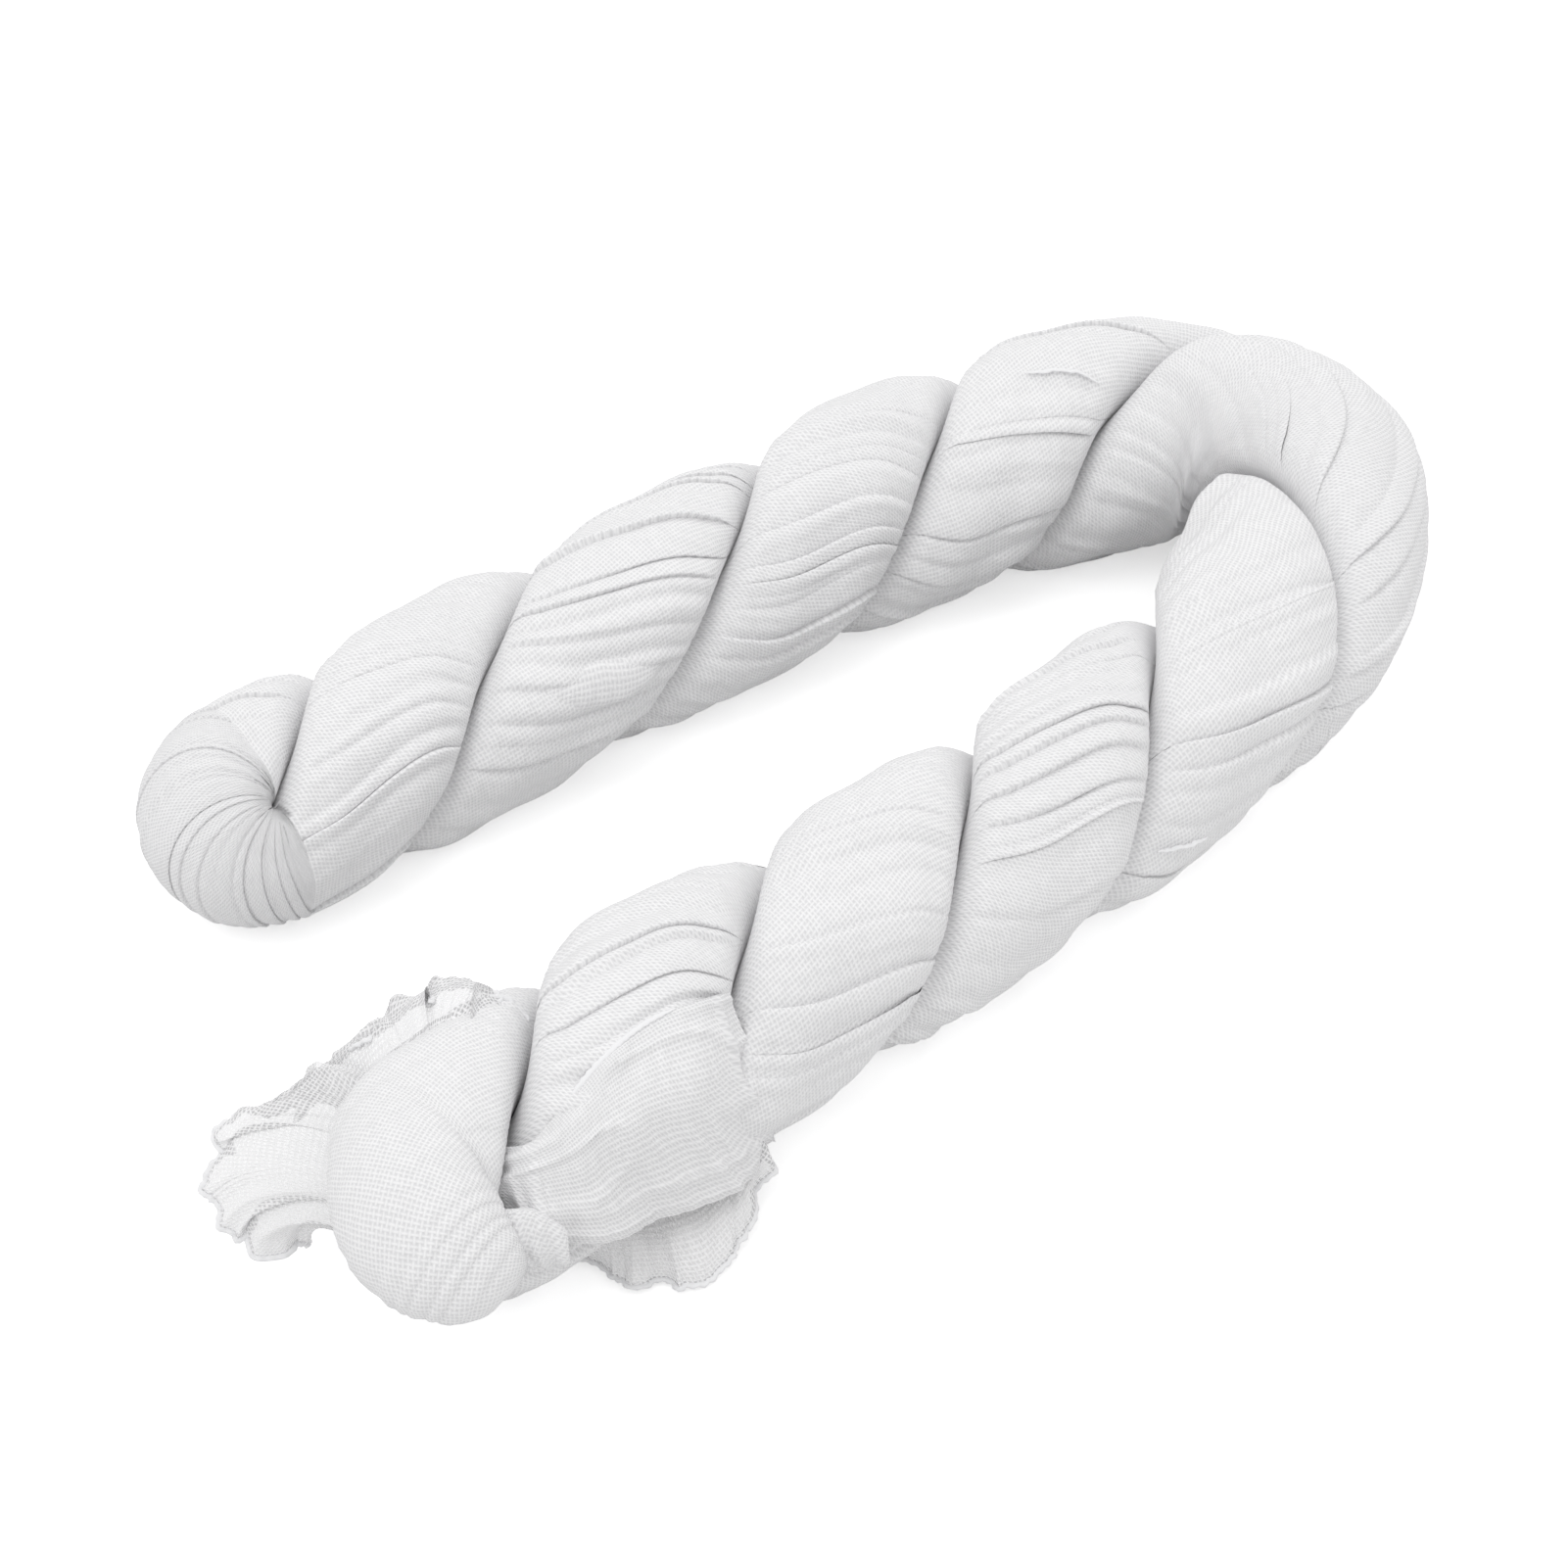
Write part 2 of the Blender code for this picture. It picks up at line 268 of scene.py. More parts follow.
class Rope:
    """The rope's axis, radius and twist at every half millimetre of the route."""

    def __init__(self):
        length = sum(stretch for stretch, _ in ROUTE)
        self.along = np.arange(0.0, length + STEP, STEP)
        bends = tuple((stretch, math.radians(turn) / stretch) for stretch, turn in ROUTE)
        curvature = smoothed(stepwise(bends, self.along), ROUTE_SMOOTHING)
        self.heading = math.radians(ROUTE_HEADING) + self.summed(curvature)
        self.x = ROUTE_START[0] + self.summed(np.cos(self.heading))
        self.y = ROUTE_START[1] + self.summed(np.sin(self.heading))
        places, radii = np.array(RADIUS_AT).T
        self.radius = smoothed(np.interp(self.along, places, radii), RADIUS_SMOOTHING)
        turn_rate = smoothed(math.pi / stepwise(TWIST, self.along), TWIST_SMOOTHING)
        eased = smoothed(np.interp(self.along, *np.array(TWIST_EASE).T), RADIUS_SMOOTHING)
        self.twist = math.radians(TWIST_START) + self.summed(turn_rate)
        self.twist += np.radians(eased - eased[0])

    @staticmethod
    def summed(rate):
        return np.concatenate(([0.0], np.cumsum((rate[1:] + rate[:-1]) * 0.5 * STEP)))

    def read(self, values, places):
        return np.interp(places, self.along, values)

    def frames(self, places, strand):
        """Axis points, forward, outward and across directions, radii and twist at many places."""
        heading = self.read(self.heading, places)
        turn = self.read(self.twist, places)
        twist = turn + strand * math.pi
        radius = self.read(self.radius, places)
        nothing = np.zeros_like(heading)
        forward = np.stack((np.cos(heading), np.sin(heading), nothing), axis=-1)
        right = np.stack((np.sin(heading), -np.cos(heading), nothing), axis=-1)
        up = np.array((0.0, 0.0, 1.0))
        level = (self.read(self.x, places), self.read(self.y, places))
        axis = np.stack((*level, AXIS_HEIGHT * radius), axis=-1)
        outward = np.cos(twist)[:, None] * right + np.sin(twist)[:, None] * up
        across = -np.sin(twist)[:, None] * right + np.cos(twist)[:, None] * up
        return axis, forward, outward, across, radius, turn


def section_outline(angle, roundness=STRAND_ROUNDNESS, taper=STRAND_TAPER):
    """Outward and sideways position on a strand's D-shaped section, as shares of the rope radius.

    Roundness and taper are those of the inner half, where the two strands press together.
    """
    cosine, sine = np.cos(angle), np.sin(angle)
    inner = cosine < 0.0
    power = np.where(inner, 2.0 / roundness, 2.0 / STRAND_ROUNDNESS)
    depth = np.sign(cosine) * np.abs(cosine) ** power
    side = np.sign(sine) * np.abs(sine) ** power
    narrowing = np.where(inner, taper, STRAND_TAPER)
    return 0.5 + 0.5 * depth, STRAND_HALF_WIDTH * side * (1.0 - narrowing * depth)


def lengths_along(points):
    """How far along a line each of its points lies."""
    return np.concatenate(([0.0], np.cumsum(np.linalg.norm(np.diff(points, axis=0), axis=1))))


OUTLINE_ANGLES = np.linspace(0.0, WHOLE_TURN, OUTLINE_POINTS)
OUTLINE = np.stack(section_outline(OUTLINE_ANGLES, SOFT_ROUNDNESS, SOFT_TAPER), axis=1)
OUTLINE_TURN = lengths_along(OUTLINE)
OUTLINE_TURN *= WHOLE_TURN / OUTLINE_TURN[-1]


def section(turn):
    """The section's position at an even share of the way round it, where a whole turn is two pi."""
    turn = np.mod(turn, WHOLE_TURN)
    outward, sideways = OUTLINE.T
    return np.interp(turn, OUTLINE_TURN, outward), np.interp(turn, OUTLINE_TURN, sideways)


class Rows:
    """The cross rows of one length of strand: where each is, where it faces and how its lay has turned."""

    def __init__(self, rope, strand, start, end):
        fold_length = math.pi * 0.5 * rope.radius[0] * 0.5
        if start <= 0.0:
            bight = np.linspace(math.pi / 2.0, 0.0, FOLD_ROWS, endpoint=False)
            if strand:
                bight = math.pi - bight
        else:
            bight = np.zeros(0)
        places = np.linspace(start, end, int(round((end - start) / ROW_SPACING)) + 1)
        axis, forward, outward, across, radius, turn = rope.frames(places, strand)
        lay = -LAY_TURN * (turn - rope.twist[0])
        sign = np.ones(len(places))
        if strand:
            sign *= -1.0
            lay -= FOLD_TURN * math.pi
        origin = rope.frames(np.zeros(1), 0)
        turned = np.cos(bight)[:, None] * origin[2] - np.sin(bight)[:, None] * origin[1]
        many = len(bight)
        self.axis = np.concatenate((np.repeat(origin[0], many, axis=0), axis))
        self.outward = np.concatenate((turned, outward))
        facing = -1.0 if strand else 1.0
        self.across = np.concatenate((facing * np.repeat(origin[3], many, axis=0), across))
        self.radius = np.concatenate((np.repeat(origin[4], many), radius))
        self.twist = np.concatenate((np.full(many, turn[0]), turn)) + strand * math.pi
        self.lay = np.concatenate((facing * FOLD_TURN * bight, lay))
        if many:
            mirrored = 2.0 * self.lay[0] - self.lay[LAY_SMOOTHING:0:-1]
            ahead = np.full(LAY_SMOOTHING, self.lay[-1])
            ahead += (self.lay[-1] - self.lay[-2]) * np.arange(1, LAY_SMOOTHING + 1)
            bell = np.hanning(2 * LAY_SMOOTHING + 1)
            extended = np.concatenate((mirrored, self.lay, ahead))
            self.lay = np.convolve(extended, bell / bell.sum(), mode="valid")
        self.sign = np.concatenate((facing * np.ones(many), sign))
        self.relief = np.concatenate((np.full(many, FOLD_RELIEF), np.ones(len(places))))
        padded = np.pad(self.relief, RELIEF_WINDOW // 2, mode="edge")
        self.relief = np.convolve(padded, np.full(RELIEF_WINDOW, 1.0 / RELIEF_WINDOW), mode="valid")
        along = np.concatenate((np.linspace(-fold_length, 0.0, many, endpoint=False), places))
        self.along = along * (-1.0 if strand else 1.0) + (-2.0 * fold_length if strand else 0.0)
        self.places = along
        self.forward = np.concatenate((np.zeros((many, 3)), forward))
        past = np.clip(along - (STRAND_ENDS[strand] - END_ROUNDING), 0.0, END_ROUNDING) / END_ROUNDING
        rounded = np.maximum(END_LEAST_SHARE, 1.0 - past ** END_POWERS[0])
        self.share = rounded ** (1.0 / END_POWERS[1])
        ending = smoothstep(*END_SLIMMING[strand], along)
        self.share *= 1.0 - END_SLIM * ending
        self.relief *= 1.0 - END_RELIEF_LOSS * ending
        self.core = self.axis + 0.5 * self.radius[:, None] * self.outward
        self.core[:, 2] *= 1.0 - END_DROOP * past**2
        if END_PITCH[strand] and past[-1] > 0.0:
            self.turn_under(past, math.radians(END_YAW[strand]), math.radians(END_PITCH[strand]))

    def turn_under(self, past, yaw, pitch):
        """Turns the end's rows aside and down, so that the strand ends in a bulge with its tip beneath."""
        first = int(np.argmax(past > 0.0)) - 1
        last = len(past)
        rounded = np.maximum(END_LEAST_SHARE, 1.0 - past[first:] ** BULGE_POWER)
        self.share[first:] = (1.0 - END_SLIM) * rounded ** 0.5
        ahead, up = self.forward[first], np.array((0.0, 0.0, 1.0))
        right = np.cross(ahead, up)
        place = self.core[first].copy()
        drift = np.array(END_DRIFT)
        out, across, radius = self.outward[first], self.across[first], self.radius[first]
        for row in range(first, last):
            swing = yaw * past[row] ** END_YAW_POWER
            dip = pitch * past[row] ** END_PITCH_POWER
            level = math.cos(swing) * ahead - math.sin(swing) * right
            beside = np.cross(level, up)
            above = math.cos(dip) * up + math.sin(dip) * level
            tangent = math.cos(dip) * level - math.sin(dip) * up
            if row > first:
                place = place + (tangent * END_REACH + drift) * (past[row] - past[row - 1])
            self.core[row] = place
            self.radius[row] = radius
            self.outward[row] = (out @ right) * beside + (out @ up) * above
            self.across[row] = (across @ right) * beside + (across @ up) * above


def wander(generator, places, scale, knots=400):
    """A smooth random line along the cloth, about one wave for each scale, with values from -1 to 1."""
    values = generator.uniform(-1.0, 1.0, knots)
    position = places / scale + knots / 2.0
    index = np.clip(np.floor(position).astype(int), 0, knots - 2)
    share = position - index
    share = share * share * (3.0 - 2.0 * share)
    return values[index] * (1.0 - share) + values[index + 1] * share


def wrapped(angle):
    """The angle brought to within half a turn of zero."""
    return (angle + math.pi) % WHOLE_TURN - math.pi


def pleated_bands(along, seed):
    """Angles and heights of the knife pleats: each band of cloth ends in a fold lapped over the next."""
    generator = np.random.default_rng(seed)
    whole = WHOLE_TURN + OVERLAP
    spread = []
    for _ in range(BANDS):
        steady = BAND_VARIATION * generator.uniform(-1.0, 1.0)
        spread.append(np.exp(steady + BAND_VARIATION * wander(generator, along, BAND_RUN)))
    paths = np.concatenate((np.zeros((1, len(along))), np.cumsum(spread, axis=0)))
    paths *= whole / paths[-1]
    strengths = []
    for _ in range(BANDS + 1):
        varied = PLEAT_STRENGTH + PLEAT_STRENGTH_VARIATION * wander(generator, along, PLEAT_RUN)
        strengths.append(np.clip(varied, 0.0, 1.0))
    share = np.linspace(0.0, 1.0, BAND_COLUMNS)[None, :]
    angles = []
    heights = []
    for index in range(BANDS):
        low, high = paths[index][:, None], paths[index + 1][:, None]
        tuck, lap = strengths[index][:, None], strengths[index + 1][:, None]
        depth = PLEAT_DEPTH * generator.uniform(*PLEAT_DEPTH_RANGE)
        under = np.interp(tuck, LAP_STRENGTHS, LAP_ANGLES)
        over = np.interp(lap, LAP_STRENGTHS, LAP_ANGLES)
        angles.append((low - under) * (1.0 - share) + (high + over) * share)
        past_crest = np.clip((share - PLEAT_CREST) / (1.0 - PLEAT_CREST), 0.0, 1.0)
        rounding = 1.0 - PLEAT_ROUNDING * past_crest ** 2
        puff = BAND_PUFF * np.sin(math.pi * share)
        sunk = TUCK_DEPTH * tuck * (1.0 - smoothstep(0.0, TUCK_SHARE, share))
        heights.append(depth * lap * share**PLEAT_RISE * rounding + puff - sunk)
    angles = np.concatenate(angles, axis=1)
    heights = np.concatenate(heights, axis=1)
    for count, depth, run in RIDGES:
        for _ in range(count):
            middle = generator.uniform(0.0, WHOLE_TURN)
            middle = middle + RIDGE_SWAY * wander(generator, along, RIDGE_SWAY_RUN)[:, None]
            strength = np.clip(wander(generator, along, run), 0.0, 1.0)[:, None]
            away = wrapped(angles - middle) * count / 4.0
            heights += depth * strength * np.exp(-(away**2))
    return angles, heights


def grid_object(name, points, across_cloth, along_cloth):
    """A grid mesh with its corners moved to points, and a UV map in metres of flat cloth."""
    rows, columns = points.shape[:2]
    shape = bmesh.new()
    bmesh.ops.create_grid(shape, x_segments=columns - 1, y_segments=rows - 1, size=0.5)
    mesh = bpy.data.meshes.new(name)
    shape.to_mesh(mesh)
    shape.free()
    mesh.vertices.foreach_set("co", points.reshape(-1).astype(np.float32))
    corners = np.empty(len(mesh.loops), dtype=np.int32)
    mesh.loops.foreach_get("vertex_index", corners)
    flat = np.stack(np.broadcast_arrays(across_cloth, along_cloth), axis=-1).reshape(-1, 2)
    layer = mesh.uv_layers.new(name="flat_cloth")
    layer.data.foreach_set("uv", flat[corners].reshape(-1).astype(np.float32))
    mesh.update()
    mesh.shade_smooth()
    thing = bpy.data.objects.new(name, mesh)
    bpy.context.scene.collection.objects.link(thing)
    return thing


def unit(vectors):
    """The vectors, each with its length brought to one."""
    return vectors / np.maximum(np.linalg.norm(vectors, axis=-1, keepdims=True), LEAST_LENGTH)


def surface_normals(points):
    along = np.gradient(points, axis=0)
    around = np.gradient(points, axis=1)
    normal = np.cross(around, along)
    return normal / np.maximum(np.linalg.norm(normal, axis=-1, keepdims=True), 1e-12)


def between_rows(values, ranks):
    """The rows' values at places part of the way from one row to the next."""
    low = np.minimum(ranks.astype(int), len(values) - 2)
    part = (ranks - low).reshape(ranks.shape + (1,) * (values.ndim - 1))
    return values[low] * (1.0 - part) + values[low + 1] * part


def pinched_ranks(rows, angle, leg):
    """Which row each point of the skin moves to, so that the folds fan out from each pinch."""
    facing, edge = PINCHES[leg]
    run = np.abs(rows.along - rows.along[0])
    ease = smoothstep(0.0, PINCH_EASE, run) * smoothstep(0.0, PINCH_EASE, run[-1] - run)
    ease *= np.interp(rows.places, BEND_SPAN, (1.0, 0.0, 0.0, 1.0))
    pull = PINCH_PULL * ease * np.sin(rows.twist - math.radians(facing))
    nearness = 0.5 + 0.5 * edge * np.sin(angle)
    ranks = np.arange(len(run))[:, None] - pull[:, None] * nearness / ROW_SPACING
    return np.clip(ranks, 0.0, len(run) - 1.0)


def strand_cloth(name, rope, strand, start, end, seed):
    """One length of strand: the gathered layers inside it and the pleated skin that shows."""
    rows = Rows(rope, strand, start, end)
    turn, height = pleated_bands(rows.along, seed)
    angle = rows.sign[:, None] * turn + rows.lay[:, None]
    out, side = section(angle)
    ranks = pinched_ranks(rows, angle, "near" if start else "far")
    radius = between_rows(rows.radius, ranks)[..., None]
    swell = between_rows(rows.share, ranks)
    core = between_rows(rows.core, ranks)
    offset = (
        ((out - 0.5) * swell)[..., None] * between_rows(rows.outward, ranks)
        + (side * swell)[..., None] * between_rows(rows.across, ranks)
    )
    skin = core + radius * offset
    plain = np.linspace(0.0, WHOLE_TURN + OVERLAP, turn.shape[1])
    normal = surface_normals(skin)
    facing = np.sign(((skin - core) * normal).sum(axis=-1))
    radial = unit(offset)
    normal = np.where((np.abs(facing) > 0.0)[..., None], normal * facing[..., None], radial)
    normal = unit(normal + radial)
    shown = smoothstep(*RELIEF_OUT, out) * np.clip(swell * RELIEF_SWELL, 0.0, 1.0)
    shown = shown * rows.relief[:, None]
    lap = smoothstep(WHOLE_TURN, WHOLE_TURN + OVERLAP_EASE, plain)[None, :] * OVERLAP_LIFT
    pressed = STRAND_PRESS * (1.0 - smoothstep(*PRESS_OUT, out))
    inset = SKIN_DEPTH * smoothstep(*SKIN_OUT, out) - pressed
    skin = skin + normal * ((height + lap) * shown - inset)[..., None]
    share = np.linspace(0.0, 1.0, INNER_COLUMNS)
    zigzag = np.where(np.arange(INNER_COLUMNS) % 2, 1.0, -1.0) * INNER_ZIGZAG
    inside = rows.core[:, None, :] + (rows.radius * rows.share)[:, None, None] * (
        (INNER_REACH * (2.0 * share - 1.0))[None, :, None] * rows.outward[:, None, :]
        + zigzag[None, :, None] * rows.across[:, None, :]
    )
    points = np.concatenate((inside, skin), axis=1)
    points[..., 2] = np.maximum(points[..., 2], STRAND_FLOOR_GAP)
    inner_width = np.linspace(0.0, CLOTH_WIDTH - SKIN_WIDTH, INNER_COLUMNS)
    outer_width = CLOTH_WIDTH - SKIN_WIDTH + SKIN_WIDTH * turn / plain[-1]
    inner_width = np.broadcast_to(inner_width, (len(turn), INNER_COLUMNS))
    widths = np.concatenate((inner_width, outer_width), axis=1)
    stride = np.median(np.linalg.norm(np.diff(skin, axis=0), axis=-1), axis=1)
    run = np.concatenate(([0.0], np.cumsum(stride)))
    return grid_object(name, points, widths, run[:, None]), rows


def curve_through(points, shares):
    """A smooth curve through a few points, evenly shared out from the first to the last."""
    points = np.array(points)
    position = shares * (len(points) - 1)
    index = np.clip(np.floor(position).astype(int), 0, len(points) - 2)
    share = (position - index).reshape((-1,) + (1,) * (points.ndim - 1))
    before = points[np.maximum(index - 1, 0)]
    start, end = points[index], points[index + 1]
    after = points[np.minimum(index + 2, len(points) - 1)]
    return 0.5 * (
        2.0 * start
        + (end - before) * share
        + (2.0 * before - 5.0 * start + 4.0 * end - after) * share**2
        + (3.0 * start - before - 3.0 * end + after) * share**3
    )


def noise_sheet(generator, rows, columns, down_cells, across_cells):
    """Smooth random heights from -1 to 1 over a sheet."""
    knots = generator.uniform(-1.0, 1.0, (down_cells + 1, across_cells + 1))

    def shares(count, cells):
        position = np.linspace(0.0, cells, count)
        index = np.minimum(position.astype(int), cells - 1)
        share = position - index
        return index, share * share * (3.0 - 2.0 * share)

    low, down = shares(rows, down_cells)
    left, right = shares(columns, across_cells)
    lines = knots[low] * (1.0 - down)[:, None] + knots[low + 1] * down[:, None]
    return lines[:, left] * (1.0 - right)[None, :] + lines[:, left + 1] * right[None, :]


def loose_sheet(
    name,
    lines,
    bulge,
    ruffles,
    depth,
    seed,
    crumpling=SHEET_CRUMPLING,
    creasing=0.0,
    rows=SHEET_ROWS,
    columns=SHEET_COLUMNS,
):
    """A loose layer laid through a few lines, with a bulge, and ruffles that grow toward its rim."""
    generator = np.random.default_rng(seed)
    shares = np.linspace(0.0, 1.0, columns)
    stack = np.stack([curve_through(line, shares) for line in lines])
    down = np.linspace(0.0, 1.0, rows)[:, None, None]
    points = curve_through(stack, down[:, 0, 0])
    points = points + np.sin(math.pi * down) * np.array(bulge)[None, None, :]
    normal = surface_normals(points)
    normal[..., 2] = np.abs(normal[..., 2])
    phase = WHOLE_TURN * (ruffles * shares + RUFFLE_DRIFT * wander(generator, shares, RUFFLE_DRIFT_RUN))
    second = SECOND_RUFFLE * np.sin(SECOND_RUFFLE_RATE * phase + 1.0)
    swing = np.sin(phase) + second * wander(generator, shares, SECOND_RUFFLE_RUN)
    small = wander(generator, shares, RIM_WAVER_RUN) * RIM_WAVER
    crumple = noise_sheet(generator, rows, columns, *CRUMPLE_CELLS)
    crumple = crumple + FINE_CRUMPLE * noise_sheet(generator, rows, columns, *FINE_CRUMPLE_CELLS)
    grown = (down[..., 0] ** RUFFLE_GROWTH) * depth
    points = points + normal * (grown * (swing + small)[None, :])[..., None]
    crumple = crumple * smoothstep(0.0, CRUMPLE_FULL, down[..., 0])
    points = points + normal * (crumpling * crumple)[..., None]
    creases = (1.0 - np.abs(noise_sheet(generator, rows, columns, *CREASE_CELLS))) ** 3
    creases = creases * smoothstep(0.0, CREASE_FULL, down[..., 0])
    points = points + normal * (creasing * creases)[..., None]
    sway = unit(np.gradient(stack[-1], axis=0))
    points = points + sway[None] * (RUFFLE_SWAY * grown * np.cos(phase)[None, :])[..., None]
    points[..., 2] = np.maximum(points[..., 2], SHEET_FLOOR_GAP)
    run = lengths_along(points[-1])
    fall = np.linalg.norm(np.diff(points, axis=0), axis=-1).sum(axis=0).mean()
    piece = grid_object(name, points, run[None, :], fall * down[..., 0])
    return piece, points, (float(run[-1]), float(fall))


def overlock(name, path, width, pitch, height):
    """An overlocked edge: a rolled cord with a thread looped round it, as one mesh along the path."""
    steps = lengths_along(path)
    places = np.arange(0.0, steps[-1], HEM_STEP)
    line = np.stack([np.interp(places, steps, path[:, axis]) for axis in range(3)], axis=1)
    tangent = unit(np.gradient(line, axis=0))
    side = unit(np.cross(tangent, np.array(HEM_UP)))
    rise = np.cross(side, tangent)
    around = np.linspace(0.0, WHOLE_TURN, HEM_SIDES)
    stitches = HEM_STITCH * np.sin(WHOLE_TURN * places / pitch)
    waves = 1.0 + stitches[:, None] * np.cos(around - HEM_STITCH_ANGLE)[None, :]
    from_end = np.minimum(places, steps[-1] - places)
    taper = np.clip(from_end / HEM_TAPER, HEM_TAPER_LEAST, 1.0) ** 0.5
    thick = width * waves * taper[:, None]
    points = line[:, None, :] + thick[..., None] * (
        np.cos(around)[None, :, None] * side[:, None, :]
        + height * np.sin(around)[None, :, None] * rise[:, None, :]
    )
    points[..., 2] = np.maximum(points[..., 2], HEM_FLOOR_GAP)
    return grid_object(name, points, HEM_FLAT_WIDTH * around[None, :] / WHOLE_TURN, places[:, None])


def weave_group():
    """Open plain weave on flat-cloth coordinates: thread cover from 0, a gap, to 1, a thread's crown."""
    group = bpy.data.node_groups.new("gauze_weave", "ShaderNodeTree")
    group.interface.new_socket("Pitch", in_out="INPUT", socket_type="NodeSocketFloat")
    group.interface.new_socket("Cover", in_out="OUTPUT", socket_type="NodeSocketFloat")
    nodes, links = group.nodes, group.links
    inputs = nodes.new("NodeGroupInput")
    outputs = nodes.new("NodeGroupOutput")
    place = nodes.new("ShaderNodeUVMap")
    place.uv_map = "flat_cloth"
    noise = nodes.new("ShaderNodeTexNoise")
    noise.inputs["Scale"].default_value = WANDER_SCALE
    noise.inputs["Detail"].default_value = 2.0
    links.new(place.outputs["UV"], noise.inputs["Vector"])
    shift = nodes.new("ShaderNodeVectorMath")
    shift.operation = "SCALE"
    shift.inputs["Scale"].default_value = WANDER_REACH
    links.new(noise.outputs["Color"], shift.inputs[0])
    moved = nodes.new("ShaderNodeVectorMath")
    moved.operation = "ADD"
    links.new(place.outputs["UV"], moved.inputs[0])
    links.new(shift.outputs["Vector"], moved.inputs[1])
    parts = nodes.new("ShaderNodeSeparateXYZ")
    links.new(moved.outputs["Vector"], parts.inputs["Vector"])

    def math_node(operation, first, second=None):
        node = nodes.new("ShaderNodeMath")
        node.operation = operation
        for socket, value in zip(node.inputs, (first, second)):
            if value is None:
                continue
            if isinstance(value, (int, float)):
                socket.default_value = value
            else:
                links.new(value, socket)
        return node.outputs["Value"]

    skew = math_node("MULTIPLY", parts.outputs["Y"], THREAD_SKEW)
    skewed = math_node("ADD", parts.outputs["X"], skew)
    ridges = []
    for line in (skewed, parts.outputs["Y"]):
        phase = math_node("DIVIDE", line, inputs.outputs["Pitch"])
        ridges.append(math_node("SINE", math_node("MULTIPLY", phase, math.pi)))
    crossing = math_node("MULTIPLY", math_node("MULTIPLY", ridges[0], ridges[1]), THREAD_CRIMP)
    over = math_node("ADD", crossing, 1.0 - THREAD_CRIMP)
    under = math_node("SUBTRACT", 1.0 - THREAD_CRIMP, crossing)
    warp = math_node("MULTIPLY", math_node("ABSOLUTE", ridges[0]), over)
    weft = math_node("MULTIPLY", math_node("ABSOLUTE", ridges[1]), under)
    slub = nodes.new("ShaderNodeTexNoise")
    slub.inputs["Scale"].default_value = SLUB_SCALE
    slub.inputs["Detail"].default_value = 3.0
    links.new(place.outputs["UV"], slub.inputs["Vector"])
    uneven = math_node("MULTIPLY", math_node("SUBTRACT", slub.outputs["Fac"], 0.5), SLUB_STRENGTH)
    cover = math_node("ADD", math_node("MAXIMUM", warp, weft), uneven)
    links.new(cover, outputs.inputs["Cover"])
    return group


def gauze_material(weave, name, least_cover):
    """White gauze, with shade painted into the gaps and thread sides of its real weave. Below a least
    cover of 1, light passes between the threads.
    """
    material = bpy.data.materials.new(name)
    material.use_nodes = True
    nodes, links = material.node_tree.nodes, material.node_tree.links
    shader = nodes["Principled BSDF"]
    shader.inputs["Roughness"].default_value = 0.95
    shader.inputs["Specular IOR Level"].default_value = 0.15
    shader.inputs["Sheen Weight"].default_value = 0.15
    shader.inputs["Sheen Roughness"].default_value = 0.6
    threads = nodes.new("ShaderNodeGroup")
    threads.node_tree = weave
    threads.inputs["Pitch"].default_value = THREAD_PITCH
    # The ramp paints shade into the weave: darker in the gaps between threads and down their sides, the
    # cotton's white at the crowns
    gap_shade_ramp = nodes.new("ShaderNodeValToRGB")
    for stop, cover, colour in zip(gap_shade_ramp.color_ramp.elements, GAP_SHADE_COVER, (GAP_SHADE_COLOUR, THREAD_COLOUR)):
        stop.position = cover
        stop.color = colour
    links.new(threads.outputs["Cover"], gap_shade_ramp.inputs["Fac"])
    links.new(gap_shade_ramp.outputs["Color"], shader.inputs["Base Color"])
    bump = nodes.new("ShaderNodeBump")
    bump.inputs["Strength"].default_value = THREAD_BUMP
    bump.inputs["Distance"].default_value = THREAD_HEIGHT
    links.new(threads.outputs["Cover"], bump.inputs["Height"])
    links.new(bump.outputs["Normal"], shader.inputs["Normal"])
    if least_cover < 1.0:
        cover = nodes.new("ShaderNodeMapRange")
        cover.inputs["From Min"].default_value = ALPHA_COVER[0]
        cover.inputs["From Max"].default_value = ALPHA_COVER[1]
        cover.inputs["To Min"].default_value = least_cover
        cover.inputs["To Max"].default_value = 1.0
        links.new(threads.outputs["Cover"], cover.inputs["Value"])
        links.new(cover.outputs["Result"], shader.inputs["Alpha"])
    return material


def make_cloth(rope):
    """Makes the four lengths of strand, and gives the two gauze materials."""
    weave = weave_group()
    gauze = gauze_material(weave, "white_cotton_gauze", 1.0)
    open_gauze = gauze_material(weave, "single_layer_gauze", SINGLE_LAYER_COVER)
    first_join, second_join = STRAND_JOINS
    first_end, second_end = STRAND_ENDS
    lengths = (
        (
            "first_half_far_cloth", 0, 0.0, first_join,
            ("first_half_far_leg", "first_half_bend", "middle_fold"),
        ),
        (
            "first_half_near_cloth", 0, first_join, first_end,
            ("first_half_near_leg", "first_half_end_bundle"),
        ),
        (
            "second_half_far_cloth", 1, 0.0, second_join,
            ("second_half_far_leg", "second_half_bend"),
        ),
        (
            "second_half_near_cloth", 1, second_join, second_end,
            ("second_half_near_leg", "second_half_end_bundle"),
        ),
    )
    for name, strand, start, end, nodes in lengths:
        piece, rows = strand_cloth(name, rope, strand, start, end, PLEAT_SEED)
        piece.data.materials.append(gauze)
        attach(piece, "root")
        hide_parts(*nodes)
    return gauze, open_gauze


